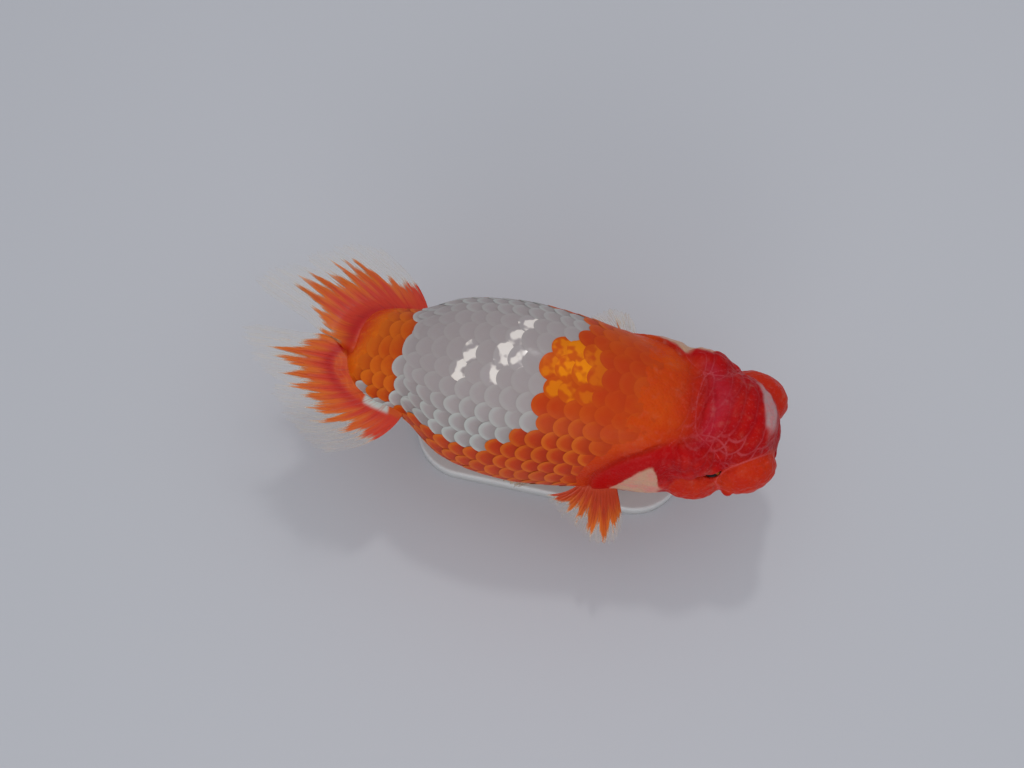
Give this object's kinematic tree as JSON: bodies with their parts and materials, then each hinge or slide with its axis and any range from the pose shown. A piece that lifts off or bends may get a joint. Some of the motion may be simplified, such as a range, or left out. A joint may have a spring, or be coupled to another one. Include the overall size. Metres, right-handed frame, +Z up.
{
  "type": "ranchu goldfish",
  "caption": "Life-size round-bodied fancy goldfish with a hooded head, no dorsal fin and a spread double tail, held over a flat base by short rods.",
  "frame": {"origin": "middle of the underside of the stand's flat base, on the surface that it stands on", "axes": "+X towards the fish's snout, +Y to the fish's left, +Z up"},
  "size_m": [0.1485, 0.0704, 0.0682],
  "materials": {
    "skin": "moist red and orange skin, cream on the gill covers",
    "scales": "overlapping glossy scales, orange with a pearl-white saddle",
    "fin": "thin rayed membrane, red-orange fading to clear at its edge",
    "eye": "wet dark eye with a coppery iris",
    "stand_plate": "satin off-white paint",
    "stand_rod": "fine brushed steel"
  },
  "bodies": {
    "root": {"head": "skin", "crown": "skin", "snout": "skin", "lips": "skin", "nasal_lobe_left": "skin", "nasal_lobe_right": "skin", "cheek_lobe_left": "skin", "cheek_lobe_right": "skin", "temple_lobe_left": "skin", "temple_lobe_right": "skin", "gill_cover_left": "skin", "gill_cover_right": "skin", "eye_left": "eye", "eye_right": "eye", "trunk": "scales", "tail_stalk": "scales", "pectoral_fin_left": "fin", "pectoral_fin_right": "fin", "pelvic_fin_left": "fin", "pelvic_fin_right": "fin", "anal_fin_left": "fin", "anal_fin_right": "fin", "tail_upper_lobe_left": "fin", "tail_upper_lobe_right": "fin", "tail_lower_lobe_left": "fin", "tail_lower_lobe_right": "fin", "stand_base": "stand_plate", "stand_rod_front": "stand_rod", "stand_rod_rear": "stand_rod"}
  },
  "joints": []
}
